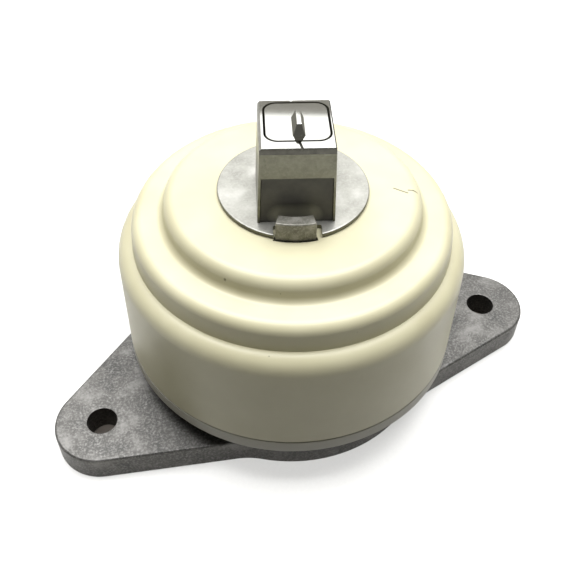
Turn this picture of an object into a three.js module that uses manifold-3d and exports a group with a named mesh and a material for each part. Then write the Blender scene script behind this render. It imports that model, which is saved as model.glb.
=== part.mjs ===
// Hydraulic engine mount: a die-cast flange with two bolt ears carries a fluid-filled pot, and a
// rubber cone in the pot carries the aluminium core with its bell-shaped cover and square head.
// Millimetres, +Z up. The origin is on the cover's axis, level with the flange's underside, and
// +X runs along the line through the two bolt holes.
import * as THREE from 'three';
import { mergeVertices } from 'three/addons/utils/BufferGeometryUtils.js';
import Module from 'manifold-3d';

const wasm = await Module();
wasm.setup();

// ---- Clearances ----
const gap = 0.3;             // between pieces that touch or are pressed together
const stopGap = 0.5;         // left between the stops when the downward stroke ends
const cut = 1;               // how far a cutting tool runs past the face it cuts

// ---- Flange and pot ----
const holeSpacing = 157;     // between the two bolt holes
const boltHole = 10.5;       // clearance hole for an M10 bolt
const earRadius = 16.7;
const earOffset = 15.3;      // the holes lie this far in front of the cover's axis
const frontEdgeInset = 4.67; // each front edge cuts this far into the round body
const frontBlend = 25;       // radius where a front edge runs into the round body
const flangeThickness = 11;
const flangeMargin = 3.3;    // flange outside the pot wall
const potWall = 4;
const ledgeWidth = 4;        // ledge inside the pot that the stack rests on
const ledgeHeight = 14;

// ---- Cover, cover ring and their strokes ----
const coverRadius = 60;
const coverDraft = 0.7;      // the cover's lower edge is wider by this
const coverWall = 2.5;
const coverToPot = 10;       // from the cover's outside to the pot's outside
const lowerStep = { rise: 40.4, width: 5.3, lean: 0.8 };
const middleStep = { rise: 9.4, width: 10.3, lean: 1 };
const upperStep = { rise: 7.5 };
const topCrown = 0.3;        // rise from the upper step to the disc
const shoulderRound = 6;     // convex rounding of the lowest step
const stepRound = 3.2;       // convex rounding of the other steps
const footRound = 1.6;       // concave rounding at the foot of a step
const coverOpening = 20.5;   // radius of the hole that the core passes through
const bumpTravel = 8;        // downward stroke
const reboundTravel = 4.8;   // upward stroke
const ringHeight = 5.4;
const ringOverhang = 0.8;    // cover ring outside the cover's upper wall
const ringLipHeight = 2.5;
const spigotHeight = 5.1;    // part of the ring that stands inside the cover
const spigotWall = 1.6;

// ---- Stack inside the pot, from the bottom up ----
const cupSheet = 1.5;
const cupClearance = 3;      // cup's underside above the flange's underside
const ventRadius = 3;
const beadHeight = 3.5;
const beadWidth = 4.5;
const membrane = 1.8;
const bellowsSpan = 25.7;    // from the stack's outside to the plate in the bellows' middle
const diaphragmPlate = { thickness: 2, drop: 5.5 };
const lowerPlateThickness = 6;
const upperPlateThickness = 5;
const trackOverrun = 8;      // degrees that the groove runs past the middle of each end
const track = { rim: 8.7, width: 9, depth: 4, sweep: 300 };
const rivet = { count: 3, land: 2.75, shank: 1.5, head: 2.4, headHeight: 1.2 };
const decoupler = { land: 3.25, thickness: 1.8, float: 0.75 };
const port = { radius: 3.2, count: 6 };
const gasketHeight = 1.5;
const springRingHeight = 12.4;
const springRingWall = 2.2;

// ---- Collar and bump ring ----
const collarSheet = 2;
const collarLip = { reach: 2.7, height: 2.5 };
const bumpRingWidth = 2.9;

// ---- Core and head ----
const headTurn = -18.9;      // degrees the head is turned about Z from the hole line
const coreTip = { radius: 12, height: 12.8 };   // height is above the upper track plate
const coreNeck = { radius: 20, below: 14 };     // below is measured from the shoulder's top
const coreShoulder = { radius: 27, thickness: 6 };
const disc = { radius: 25, thickness: 1.3 };
const block = { width: 22.6, depth: 24.5, height: 27.3, offset: -4.7, cornerRound: 1.6 };   // at the top
const blockDraft = { side: 0.9, front: 0.7 };   // how much further out the sides and front stand at the disc
const post = { width: 19.1, shift: 0.35, frontInset: 3.85, rearInset: 1.55, cornerRound: 3.6 };
const lug = { width: 13, shift: -0.55, outer: 25.2, inner: 21, height: 6.4 };
const notch = { left: 0.4, right: 1.8, behind: 0.3 };   // room that the disc leaves around the lug
const wedge = { width: 3.8, ridge: 1.5, rise: 3.6, start: 1.9, length: 9.9, frontLean: 1.15, rearLean: 1.65, shift: 0.6 };
const padRecess = { depth: 1.7, height: 16.85, lip: 0.7 };
const threadInsert = { bore: 10.2, outer: 15, length: 13.5, boltRoom: 3 };

// ---- Facets ----
const outerSides = 48;
const innerSides = 36;
const smallSides = 24;

// ---- Radii and heights worked out from the sizes above ----
const potRadius = coverRadius - coverToPot;
const potBore = potRadius - potWall;
const ledgeBore = potBore - ledgeWidth;
const fitRadius = potBore - gap;                       // outside of what slides into the pot
const trackOuter = fitRadius - track.rim;
const trackInner = trackOuter - track.width;
const rivetCircle = trackInner - rivet.land;
const decouplerRadius = rivetCircle - decoupler.land;
const portCircle = decouplerRadius / 2 + 1;
const diaphragmPlateRadius = fitRadius - bellowsSpan;
const cupRimZ = ledgeHeight + gap;
const beadZ = cupRimZ + cupSheet + gap;
const lowerPlateZ = beadZ + beadHeight + gap;
const lowerPlateTop = lowerPlateZ + lowerPlateThickness;
const upperPlateZ = lowerPlateTop + gap;
const upperPlateTop = upperPlateZ + upperPlateThickness;
const gasketZ = upperPlateTop + gap;
const springRingZ = gasketZ + gasketHeight + gap;
const potTop = springRingZ + springRingHeight;
const collarTop = potTop + gap + collarSheet;
const ringZ = flangeThickness + bumpTravel + stopGap;
const ringTop = ringZ + ringHeight;
const collarZ = ringTop + reboundTravel + gap;         // the ring's lip stops under the collar's lip
const ringLipZ = ringTop - ringLipHeight;
const coverZ = ringTop + gap;
const lowerStepZ = coverZ + lowerStep.rise;
const middleStepZ = lowerStepZ + middleStep.rise;
const upperStepZ = middleStepZ + upperStep.rise;
const coverTop = upperStepZ + topCrown;
const shoulderTop = coverTop - coverWall - gap;
const shoulderZ = shoulderTop - coreShoulder.thickness;
const discZ = coverTop + gap;
const discTop = discZ + disc.thickness;
const headTop = discTop + block.height;
const blockFront = block.offset - block.depth / 2;
const blockRear = block.offset + block.depth / 2;
const threadZ = discTop + block.height / 2;
const diaphragmPlateZ = beadZ + beadHeight / 2 - diaphragmPlate.drop;

// ---- Materials ----
function finish(color, roughness, metalness) {
  return new THREE.MeshStandardMaterial({ color, roughness, metalness });
}
const castAluminium = finish(0x9c9a92, 0.55, 0.9);
const machinedAluminium = finish(0xd9dad6, 0.35, 0.95);
const creamPlastic = finish(0xf3efd8, 0.5, 0);
const greyPlastic = finish(0x8f8d7f, 0.6, 0);
const zincSteel = finish(0xb4b6b4, 0.4, 0.9);
const blackRubber = finish(0x23221f, 0.8, 0);
const trackPlastic = finish(0x3a3b3d, 0.6, 0);

// ---- Geometry helpers ----
function merged(geometry) {
  const bare = geometry.clone();
  bare.deleteAttribute('normal');
  bare.deleteAttribute('uv');
  const welded = mergeVertices(bare, 1e-4);
  const corners = [];
  const index = welded.index.array;
  for (let i = 0; i < index.length; i += 3) {
    const [a, b, c] = [index[i], index[i + 1], index[i + 2]];
    if (a !== b && b !== c && c !== a) corners.push(a, b, c);
  }
  welded.setIndex(corners);
  return welded;
}

function signedVolume(geometry) {
  const place = geometry.attributes.position;
  const index = geometry.index.array;
  const [a, b, c] = [new THREE.Vector3(), new THREE.Vector3(), new THREE.Vector3()];
  let volume = 0;
  for (let i = 0; i < index.length; i += 3) {
    a.fromBufferAttribute(place, index[i]);
    b.fromBufferAttribute(place, index[i + 1]);
    c.fromBufferAttribute(place, index[i + 2]);
    volume += a.dot(b.cross(c)) / 6;
  }
  return volume;
}

function outwardFacing(geometry) {
  const surface = merged(geometry);
  if (signedVolume(surface) < 0) surface.setIndex([...surface.index.array].reverse());
  return surface;
}

function solid(geometry) {
  const surface = outwardFacing(geometry);
  return new wasm.Manifold(new wasm.Mesh({
    numProp: 3,
    vertProperties: Float32Array.from(surface.attributes.position.array),
    triVerts: Uint32Array.from(surface.index.array),
  }));
}

function surfaceOf(manifold) {
  const mesh = manifold.getMesh();
  const geometry = new THREE.BufferGeometry();
  geometry.setAttribute('position', new THREE.BufferAttribute(mesh.vertProperties, mesh.numProp));
  geometry.setIndex(new THREE.BufferAttribute(mesh.triVerts, 1));
  return geometry;
}

// A ring or disc turned about Z from an outline of [radius, height] points
function turned(outline, sides = innerSides) {
  const closed = outline[0][0] > 0;
  const points = outline.map(([r, z]) => new THREE.Vector2(r, z));
  if (closed) points.push(points[0].clone());
  return outwardFacing(new THREE.LatheGeometry(points, sides).rotateX(Math.PI / 2));
}

// A flat outline of [x, y] points with holes, raised from height z
function raised(outline, z, height, holes = []) {
  const shape = new THREE.Shape(outline.map(([x, y]) => new THREE.Vector2(x, y)));
  for (const hole of holes) {
    shape.holes.push(new THREE.Path(hole.map(([x, y]) => new THREE.Vector2(x, y))));
  }
  return new THREE.ExtrudeGeometry(shape, { depth: height, bevelEnabled: false }).translate(0, 0, z);
}

// Points of an arc, both ends included; angles are in degrees
function arc(x, y, radius, from, to, sides = innerSides) {
  const steps = Math.max(1, Math.ceil(Math.abs(to - from) / 360 * sides - 1e-6));
  return Array.from({ length: steps + 1 }, (_, i) => {
    const angle = THREE.MathUtils.degToRad(from + (to - from) * i / steps);
    return [x + radius * Math.cos(angle), y + radius * Math.sin(angle)];
  });
}

function circle(x, y, radius, sides = smallSides) {
  return arc(x, y, radius, 0, 360, sides).slice(0, -1);
}

function roundedRectangle(left, right, front, rear, radius) {
  return [
    ...arc(right - radius, front + radius, radius, -90, 0, smallSides),
    ...arc(right - radius, rear - radius, radius, 0, 90, smallSides),
    ...arc(left + radius, rear - radius, radius, 90, 180, smallSides),
    ...arc(left + radius, front + radius, radius, 180, 270, smallSides),
  ];
}

// An open outline whose inner corners are rounded; each corner is [radius, height, rounding]
function rounded(corners, steps) {
  const path = corners.map(([r, z]) => new THREE.Vector2(r, z));
  const points = [];
  corners.forEach(([, , rounding = 0], i) => {
    if (!rounding) {
      points.push([path[i].x, path[i].y]);
      return;
    }
    const back = path[i - 1].clone().sub(path[i]).setLength(rounding).add(path[i]);
    const on = path[i + 1].clone().sub(path[i]).setLength(rounding).add(path[i]);
    const bend = new THREE.QuadraticBezierCurve(back, path[i], on);
    for (const point of bend.getPoints(steps)) points.push([point.x, point.y]);
  });
  return points;
}

// A strip of even thickness along a flat curve, as a closed outline
function strip(curve, thickness, steps) {
  const [upper, lower] = [[], []];
  for (let i = 0; i <= steps; i += 1) {
    const point = curve.getPointAt(i / steps);
    const along = curve.getTangentAt(i / steps);
    const [nx, ny] = [-along.y * thickness / 2, along.x * thickness / 2];
    upper.push([point.x + nx, point.y + ny]);
    lower.unshift([point.x - nx, point.y - ny]);
  }
  return [...upper, ...lower];
}

function aroundCircle(count, radius, make, start = 0) {
  return Array.from({ length: count }, (_, i) => {
    const angle = THREE.MathUtils.degToRad(start + 360 * i / count);
    return make(radius * Math.cos(angle), radius * Math.sin(angle));
  });
}

function part(name, geometry, material) {
  const mesh = new THREE.Mesh(geometry, material);
  mesh.name = name;
  return mesh;
}

// ---- Base: flange, pot and what is fixed in them ----
function flangeOutline() {
  const ear = new THREE.Vector2(holeSpacing / 2, -earOffset);
  const body = potRadius + flangeMargin;
  const degrees = THREE.MathUtils.radToDeg;
  const earAngle = degrees(Math.atan2(ear.y, ear.x));
  // each rear edge is the straight line that touches the ear and the round body
  const rearNormal = earAngle + degrees(Math.acos((body - earRadius) / ear.length()));
  // each front edge touches the ear, and a concave arc joins it to the body
  const edgeDistance = body - frontEdgeInset;
  const frontNormal = earAngle - degrees(Math.acos((edgeDistance - earRadius) / ear.length()));
  const reach = body + frontBlend;
  const blendAngle = frontNormal + degrees(Math.acos((edgeDistance + frontBlend) / reach));
  const [[blendX, blendY]] = arc(0, 0, reach, blendAngle, blendAngle);
  const right = [
    ...arc(blendX, blendY, frontBlend, blendAngle + 180, frontNormal + 180, innerSides),
    ...arc(ear.x, ear.y, earRadius, frontNormal, 0),
    ...arc(ear.x, ear.y, earRadius, 0, rearNormal).slice(1),
    ...arc(0, 0, body, rearNormal, 90),
  ];
  const left = right.slice(0, -1).map(([x, y]) => [-x, y]).reverse();
  return [...right, ...left, ...arc(0, 0, body, -180 - blendAngle, blendAngle).slice(1, -1)];
}

function baseHousing() {
  const boltHoles = [-1, 1].map((side) => circle(side * holeSpacing / 2, -earOffset, boltHole / 2));
  const centre = circle(0, 0, (ledgeBore + potRadius) / 2, innerSides);
  const flange = raised(flangeOutline(), 0, flangeThickness, [...boltHoles, centre]);
  const pot = turned([
    [ledgeBore, 0], [potRadius, 0], [potRadius, potTop], [potBore, potTop],
    [potBore, ledgeHeight], [ledgeBore, ledgeHeight],
  ], innerSides);
  return surfaceOf(solid(flange).add(solid(pot)));
}

function bottomCup() {
  const wall = ledgeBore - gap - 0.2;
  return turned([
    [ventRadius, cupClearance], [wall, cupClearance], [wall, cupRimZ], [fitRadius, cupRimZ],
    [fitRadius, cupRimZ + cupSheet], [wall - cupSheet, cupRimZ + cupSheet],
    [wall - cupSheet, cupClearance + cupSheet], [ventRadius, cupClearance + cupSheet],
  ]);
}

function diaphragm() {
  const outer = fitRadius - 0.2;
  const inner = outer - beadWidth;
  const plateMiddle = diaphragmPlateZ + diaphragmPlate.thickness / 2;
  const start = diaphragmPlateRadius + gap + membrane / 2;
  const lowest = cupClearance + cupSheet + membrane + 1.6;
  const bellows = new THREE.SplineCurve([
    new THREE.Vector2(inner + beadWidth / 2, beadZ + beadHeight / 2),
    new THREE.Vector2(inner - 3, beadZ + beadHeight / 2 - 1.5),
    new THREE.Vector2(inner - 6.5, lowest + 2.4),
    new THREE.Vector2((inner + start) / 2, lowest),
    new THREE.Vector2(start + 5, lowest + 1.8),
    new THREE.Vector2(start, plateMiddle),
  ]);
  const bead = turned([
    [inner, beadZ], [outer, beadZ], [outer, beadZ + beadHeight], [inner, beadZ + beadHeight],
  ]);
  return surfaceOf(solid(bead).add(solid(turned(strip(bellows, membrane, 8)))));
}

function diaphragmDisc() {
  const top = diaphragmPlateZ + diaphragmPlate.thickness;
  return turned([
    [0, diaphragmPlateZ], [diaphragmPlateRadius, diaphragmPlateZ],
    [diaphragmPlateRadius, top], [0, top],
  ]);
}

function plateHoles(rivetHole) {
  return [
    circle(0, 0, port.radius, 16),
    ...aroundCircle(port.count, portCircle, (x, y) => circle(x, y, port.radius, 16)),
    ...aroundCircle(rivet.count, rivetCircle, (x, y) => circle(x, y, rivetHole, 12), 90),
  ];
}

// The track is an open groove in the lower plate; fluid enters at one end and leaves at the other
function trackEnd(angle) {
  const [[x, y]] = arc(0, 0, (trackOuter + trackInner) / 2, angle, angle);
  return circle(x, y, track.width / 2 - gap, 16);
}

function lowerTrackPlate() {
  const holes = [...plateHoles(rivet.shank + gap), trackEnd(track.sweep - trackOverrun)];
  const plate = solid(raised(circle(0, 0, fitRadius, innerSides), lowerPlateZ, lowerPlateThickness, holes));
  const pocketDepth = 2 * decoupler.float + decoupler.thickness - gap;
  const pocket = raised(
    circle(0, 0, decouplerRadius + gap, innerSides), lowerPlateTop - pocketDepth, pocketDepth + cut);
  const groove = raised([
    ...arc(0, 0, trackOuter, -trackOverrun, track.sweep),
    ...arc(0, 0, trackInner, track.sweep, -trackOverrun),
  ], lowerPlateTop - track.depth, track.depth + cut);
  return surfaceOf(plate.subtract(solid(pocket)).subtract(solid(groove)));
}

function upperTrackPlate() {
  const holes = [...plateHoles(rivet.shank + gap), trackEnd(0)];
  return raised(circle(0, 0, fitRadius, innerSides), upperPlateZ, upperPlateThickness, holes);
}

function decouplerDisc() {
  const bottom = upperPlateZ - decoupler.float - decoupler.thickness;
  const top = bottom + decoupler.thickness;
  return turned([[0, bottom], [decouplerRadius, bottom], [decouplerRadius, top], [0, top]]);
}

function trackRivet() {
  const { shank, head, headHeight } = rivet;
  const [bottom, top] = [lowerPlateZ - gap, upperPlateTop + gap];
  return turned([
    [0, bottom - headHeight], [head, bottom - headHeight], [head, bottom], [shank, bottom],
    [shank, top], [head, top], [head, top + headHeight], [0, top + headHeight],
  ], 12);
}

function trackGasket() {
  const outer = fitRadius - 0.2;
  const top = gasketZ + gasketHeight;
  return turned([[outer - beadWidth, gasketZ], [outer, gasketZ], [outer, top], [outer - beadWidth, top]]);
}

function springOuterRing() {
  const inner = fitRadius - springRingWall;
  return turned([[inner, springRingZ], [fitRadius, springRingZ], [fitRadius, potTop], [inner, potTop]]);
}

function mainSpring() {
  const outer = fitRadius - springRingWall - gap;
  const neckZ = shoulderTop - coreNeck.below;
  const tipZ = upperPlateTop + coreTip.height;
  const slope = (coreNeck.radius - coreTip.radius) / (neckZ - tipZ);
  const foot = tipZ + 8;
  const cone = (z) => coreTip.radius + (z - tipZ) * slope + gap;
  const path = new THREE.Path();
  path.moveTo(cone(foot), foot);
  path.lineTo(cone(neckZ - gap), neckZ - gap);
  path.lineTo(coreNeck.radius + 3.5, neckZ - gap);
  path.quadraticCurveTo(coreNeck.radius + 8, potTop + 3, outer, potTop - gap);
  path.lineTo(outer, springRingZ + 0.7);
  path.quadraticCurveTo(coreNeck.radius + 9, foot - 6, cone(foot), foot);
  const points = path.getPoints(4).map(({ x, y }) => [x, y]);
  return turned(points.slice(0, -1));
}

function crimpCollar() {
  const inner = potRadius + gap;
  const outer = inner + collarSheet;
  const hold = fitRadius - springRingWall - 0.5;
  return turned([
    [inner, collarZ], [outer + collarLip.reach, collarZ],
    [outer + collarLip.reach, collarZ + collarLip.height], [outer, collarZ + collarLip.height],
    [outer, collarTop], [hold, collarTop], [hold, potTop + gap], [inner, potTop + gap],
  ], outerSides);
}

function bumpRing() {
  const inner = potRadius + gap;
  const bottom = flangeThickness + gap;
  const top = ringLipZ - bumpTravel - stopGap;
  return turned([
    [inner, bottom], [inner + bumpRingWidth, bottom], [inner + bumpRingWidth, top], [inner, top],
  ], outerSides);
}

// ---- Sprung assembly: core, cover and head ----
function coverOutline(inset, steps) {
  const lowerWall = coverRadius - lowerStep.width;
  const middleWall = lowerWall - lowerStep.lean;
  const upperWall = middleWall - middleStep.width;
  const corners = [
    [coverRadius + coverDraft, coverZ + inset],
    [coverRadius, lowerStepZ, shoulderRound],
    [lowerWall, lowerStepZ, footRound],
    [middleWall, middleStepZ, stepRound],
    [upperWall, middleStepZ, footRound],
    [upperWall - middleStep.lean, upperStepZ, stepRound],
    [disc.radius + 1, coverTop],
    [coverOpening + inset, coverTop],
  ];
  return rounded(corners.map(([r, z, rounding]) => [r - inset, z - inset, rounding]), steps);
}

function lugOutline(clearance, inner) {
  const { width, shift, outer } = lug;
  const [left, right] = [shift - width / 2 - clearance, shift + width / 2 + clearance];
  const edge = (radius, x) => THREE.MathUtils.radToDeg(Math.asin(x / radius)) - 90;
  const reach = outer + clearance;
  return [
    ...arc(0, 0, reach, edge(reach, left), edge(reach, right), outerSides),
    ...arc(0, 0, inner, edge(inner, right), edge(inner, left), outerSides),
  ];
}

function cover() {
  const shell = turned([...coverOutline(0, 3), ...coverOutline(coverWall, 1).reverse()], outerSides);
  const slot = raised(
    lugOutline(gap, coverOpening - 2), coverTop - coverWall - cut, coverWall + 2 * cut);
  return surfaceOf(solid(shell).subtract(solid(slot)));
}

function coverRing() {
  const outer = coverRadius + ringOverhang;
  const spigotOuter = coverRadius + coverDraft - coverWall - gap;
  const lipInner = potRadius + gap + bumpRingWidth / 2;
  const bandInner = spigotOuter;
  return turned([
    [outer, ringZ], [outer, ringTop], [spigotOuter, ringTop], [spigotOuter, ringTop + spigotHeight],
    [spigotOuter - spigotWall, ringTop + spigotHeight], [spigotOuter - spigotWall, ringTop],
    [lipInner, ringTop], [lipInner, ringLipZ], [bandInner, ringLipZ], [bandInner, ringZ],
  ], outerSides);
}

function postOutline(clearance) {
  const half = post.width / 2 + clearance;
  return roundedRectangle(
    post.shift - half, post.shift + half,
    blockFront + post.frontInset - clearance, blockRear - post.rearInset + clearance,
    post.cornerRound);
}

// A cylinder along Y whose rear end stands past the block's rear face
function rearBore(radius, depth) {
  return new THREE.CylinderGeometry(radius, radius, depth + cut, smallSides)
    .translate(0, blockRear - depth / 2 + cut / 2, threadZ);
}

// The wedge on the post locates the engine bracket: its four sides lean in to a level ridge
function wedgeGeometry() {
  const front = blockFront + post.frontInset + wedge.start;
  const foot = 1 + cut / wedge.rise;
  const geometry = new THREE.BoxGeometry(1, 1, 1);
  const place = geometry.attributes.position;
  for (let i = 0; i < place.count; i += 1) {
    const [inFront, onTop] = [place.getY(i) < 0, place.getZ(i) > 0];
    const spread = onTop ? 0 : foot;
    const half = (wedge.ridge + (wedge.width - wedge.ridge) * spread) / 2;
    place.setXYZ(
      i,
      wedge.shift + Math.sign(place.getX(i)) * half,
      inFront ? front + wedge.frontLean * (1 - spread) : front + wedge.length - wedge.rearLean * (1 - spread),
      headTop + (onTop ? wedge.rise : -cut));
  }
  return geometry;
}

function core() {
  const neckZ = shoulderTop - coreNeck.below;
  const round = turned([
    [0, upperPlateTop + coreTip.height], [coreTip.radius, upperPlateTop + coreTip.height],
    [coreNeck.radius, neckZ], [coreShoulder.radius, shoulderZ], [coreShoulder.radius, shoulderTop],
    [0, shoulderTop],
  ]);
  const foot = shoulderTop - cut;
  const square = raised(postOutline(0), foot, headTop - foot);
  const key = raised(lugOutline(0, lug.inner), foot, coverTop + lug.height + gap - foot);
  const bore = rearBore(threadInsert.outer / 2 + gap, threadInsert.length + gap);
  const boltRoom = rearBore(threadInsert.bore / 2, threadInsert.length + threadInsert.boltRoom);
  return surfaceOf(
    solid(round).add(solid(square)).add(solid(key)).add(solid(wedgeGeometry()))
      .subtract(solid(bore)).subtract(solid(boltRoom)));
}

// Makes the block's sides and front stand further out towards the disc; the rear stays upright
function drafted(geometry) {
  const place = geometry.attributes.position;
  for (let i = 0; i < place.count; i += 1) {
    const below = (headTop - place.getZ(i)) / block.height;
    place.setXY(
      i,
      place.getX(i) * (1 + below * blockDraft.side * 2 / block.width),
      blockRear + (place.getY(i) - blockRear) * (1 + below * blockDraft.front / block.depth));
  }
  return geometry;
}

function headBlock() {
  const flat = raised(circle(0, 0, disc.radius, outerSides), discZ, disc.thickness);
  const half = block.width / 2;
  const sides = drafted(raised(
    roundedRectangle(-half, half, blockFront, blockRear, block.cornerRound), discZ, headTop - discZ));
  const notchLeft = lug.shift - lug.width / 2 - notch.left;
  const notchRight = lug.shift + lug.width / 2 + notch.right;
  const lugReach = lug.width / 2 + Math.abs(lug.shift);
  const notchRear = notch.behind - Math.sqrt(lug.inner ** 2 - lugReach ** 2);
  const opening = raised(
    [[notchLeft, -disc.radius - cut], [notchRight, -disc.radius - cut],
      [notchRight, notchRear], [notchLeft, notchRear]],
    discZ - cut, disc.thickness + 2 * cut);
  const inside = raised(postOutline(gap), discZ - cut, headTop - discZ + 2 * cut);
  const recess = drafted(
    new THREE.BoxGeometry(block.width - 2 * padRecess.lip, padRecess.depth + cut, padRecess.height)
      .translate(0, blockFront + (padRecess.depth - cut) / 2, discTop + padRecess.height / 2));
  const bore = rearBore(threadInsert.outer / 2 + gap, block.depth / 4);
  return surfaceOf(
    solid(flat).subtract(solid(opening)).add(solid(sides)).subtract(solid(inside))
      .subtract(solid(recess)).subtract(solid(bore)));
}

function frontPad() {
  const width = block.width - 2 * (padRecess.lip + gap);
  const thickness = padRecess.depth - gap;
  return drafted(new THREE.BoxGeometry(width, thickness, padRecess.height - 2 * gap)
    .translate(0, blockFront + thickness / 2, discTop + padRecess.height / 2));
}

function rearInsert() {
  const { bore, outer, length } = threadInsert;
  return turned([[bore / 2, 0], [outer / 2, 0], [outer / 2, length], [bore / 2, length]], smallSides)
    .rotateX(-Math.PI / 2)
    .translate(0, blockRear - length, threadZ);
}

// ---- Assembly ----
const base = new THREE.Group();
base.add(
  part('base_housing', baseHousing(), castAluminium),
  part('bottom_cup', bottomCup(), zincSteel),
  part('diaphragm', diaphragm(), blackRubber),
  part('lower_track_plate', lowerTrackPlate(), trackPlastic),
  part('upper_track_plate', upperTrackPlate(), trackPlastic),
  part('track_gasket', trackGasket(), blackRubber),
  part('spring_outer_ring', springOuterRing(), zincSteel),
  part('main_spring', mainSpring(), blackRubber),
  part('crimp_collar', crimpCollar(), zincSteel),
  part('bump_ring', bumpRing(), blackRubber),
  part('diaphragm_plate', diaphragmDisc(), trackPlastic),
  part('decoupler_disc', decouplerDisc(), blackRubber),
);
aroundCircle(rivet.count, rivetCircle, (x, y) => new THREE.Vector3(x, y, 0), 90).forEach((place, i) => {
  const mesh = part(`track_rivet_${i + 1}`, trackRivet(), zincSteel);
  mesh.position.copy(place);
  base.add(mesh);
});

const head = new THREE.Group();
head.rotation.z = THREE.MathUtils.degToRad(headTurn);
head.add(
  part('cover', cover(), creamPlastic),
  part('core', core(), machinedAluminium),
  part('head_block', headBlock(), castAluminium),
  part('front_pad', frontPad(), blackRubber),
  part('thread_insert', rearInsert(), zincSteel),
);

const mount = new THREE.Group();
mount.add(base, part('cover_ring', coverRing(), greyPlastic), head);

export default mount;
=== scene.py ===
# Hydraulic engine mount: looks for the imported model. Sizes are in millimetres, objects in metres.
import math
import bmesh
import bpy
from mathutils import Matrix, Vector


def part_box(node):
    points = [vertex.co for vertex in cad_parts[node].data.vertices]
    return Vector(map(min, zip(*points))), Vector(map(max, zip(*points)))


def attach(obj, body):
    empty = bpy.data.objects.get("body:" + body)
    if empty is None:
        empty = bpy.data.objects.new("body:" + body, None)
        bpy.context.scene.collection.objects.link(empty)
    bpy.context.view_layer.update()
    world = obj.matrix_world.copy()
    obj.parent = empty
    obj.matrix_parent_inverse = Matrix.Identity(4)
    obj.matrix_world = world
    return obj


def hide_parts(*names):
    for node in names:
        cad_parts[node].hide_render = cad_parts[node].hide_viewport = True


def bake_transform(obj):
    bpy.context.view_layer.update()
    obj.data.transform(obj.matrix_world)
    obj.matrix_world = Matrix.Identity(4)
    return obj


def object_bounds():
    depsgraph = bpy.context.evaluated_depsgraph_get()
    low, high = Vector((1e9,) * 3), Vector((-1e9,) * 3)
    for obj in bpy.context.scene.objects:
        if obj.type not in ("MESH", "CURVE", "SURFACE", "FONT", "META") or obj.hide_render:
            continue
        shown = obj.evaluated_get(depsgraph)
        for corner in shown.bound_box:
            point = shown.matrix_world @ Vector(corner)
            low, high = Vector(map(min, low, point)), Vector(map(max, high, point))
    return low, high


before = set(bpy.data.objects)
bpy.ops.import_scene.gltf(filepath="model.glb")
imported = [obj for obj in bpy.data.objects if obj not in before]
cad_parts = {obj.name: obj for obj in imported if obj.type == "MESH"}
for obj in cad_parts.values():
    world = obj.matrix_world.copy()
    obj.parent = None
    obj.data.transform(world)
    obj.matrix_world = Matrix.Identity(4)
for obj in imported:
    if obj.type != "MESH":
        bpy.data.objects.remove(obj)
cadLow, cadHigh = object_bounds()
mm = 0.001
headTurn = math.radians(-18.9)
headSpin = Matrix.Rotation(headTurn, 4, "Z")
creaseAngle = math.radians(38)  # edges sharper than this stay crisp
overrun = 3  # how far a cutting tool stands past the face that it opens
print("frame loaded:", len(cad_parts), "nodes")


# a node's lowest and highest place along an axis, in millimetres
def low(node, axis=2):
    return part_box(node)[0][axis] / mm


def high(node, axis=2):
    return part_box(node)[1][axis] / mm


levels = {
    "flangeTop": 11,  # the ears' thickness
    "potTop": high("base_housing"),
    "ringLow": low("cover_ring"),
    "coverLow": low("cover"),
    "coverTop": high("cover"),
    "discLow": low("head_block"),
    "headTop": high("head_block"),
}


# mesh helpers
def point(x, y, z):
    return Vector((x, y, z)) * mm


def roundCorner(bm, vert, reach, segments):
    bmesh.ops.bevel(bm, geom=[vert], offset=reach * mm, offset_type="OFFSET", segments=segments,
                    profile=0.5, affect="VERTICES", material=-1)


def spunPiece(outline, turns=160):
    # outline: (radius, height, rounding) corners in order, closed on itself or along the axis
    bm = bmesh.new()
    corners = [bm.verts.new(point(corner[0], 0, corner[1])) for corner in outline]
    bm.faces.new(corners)
    for vert, corner in zip(corners, outline):
        if len(corner) > 2:
            roundCorner(bm, vert, corner[2], corner[3] if len(corner) > 3 else 5)
    bmesh.ops.delete(bm, geom=bm.faces[:], context="FACES_ONLY")
    onAxis = [e for e in bm.edges if all(abs(v.co.x) < 1e-7 for v in e.verts)]
    bmesh.ops.delete(bm, geom=onAxis, context="EDGES")
    bmesh.ops.spin(bm, geom=bm.verts[:] + bm.edges[:], cent=(0, 0, 0), axis=(0, 0, 1), angle=2 * math.pi,
                   steps=turns, use_merge=True, use_duplicate=False)
    bmesh.ops.remove_doubles(bm, verts=bm.verts[:], dist=1e-7)
    bmesh.ops.recalc_face_normals(bm, faces=bm.faces[:])
    return bm


def boxPiece(left, right, front, rear, bottom, top):
    bm = bmesh.new()
    size = point(right - left, rear - front, top - bottom)
    middle = point(left + right, front + rear, bottom + top) / 2
    bmesh.ops.create_cube(bm, size=1, matrix=Matrix.Translation(middle) @ Matrix.Diagonal(size.to_4d()))
    return bm


def uprightEdges(bm):
    return [e for e in bm.edges if abs((e.verts[0].co - e.verts[1].co).normalized().z) > 0.95]


def bevelEdges(bm, edges, offset, segments=3):
    bmesh.ops.bevel(bm, geom=edges, offset=offset * mm, offset_type="OFFSET", segments=segments,
                    profile=0.5, affect="EDGES", material=-1, clamp_overlap=True)


def sharpEdges(bm, degrees=50):
    bm.normal_update()
    return [e for e in bm.edges if len(e.link_faces) == 2 and e.calc_face_angle(0) > math.radians(degrees)]


def cylinderPiece(radius, start, end, sides=64):
    bm = bmesh.new()
    along = end - start
    turn = Vector((0, 0, 1)).rotation_difference(along).to_matrix().to_4x4()
    bmesh.ops.create_cone(bm, cap_ends=True, cap_tris=False, segments=sides, radius1=radius * mm,
                          radius2=radius * mm, depth=along.length,
                          matrix=Matrix.Translation((start + end) / 2) @ turn)
    return bm


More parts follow.
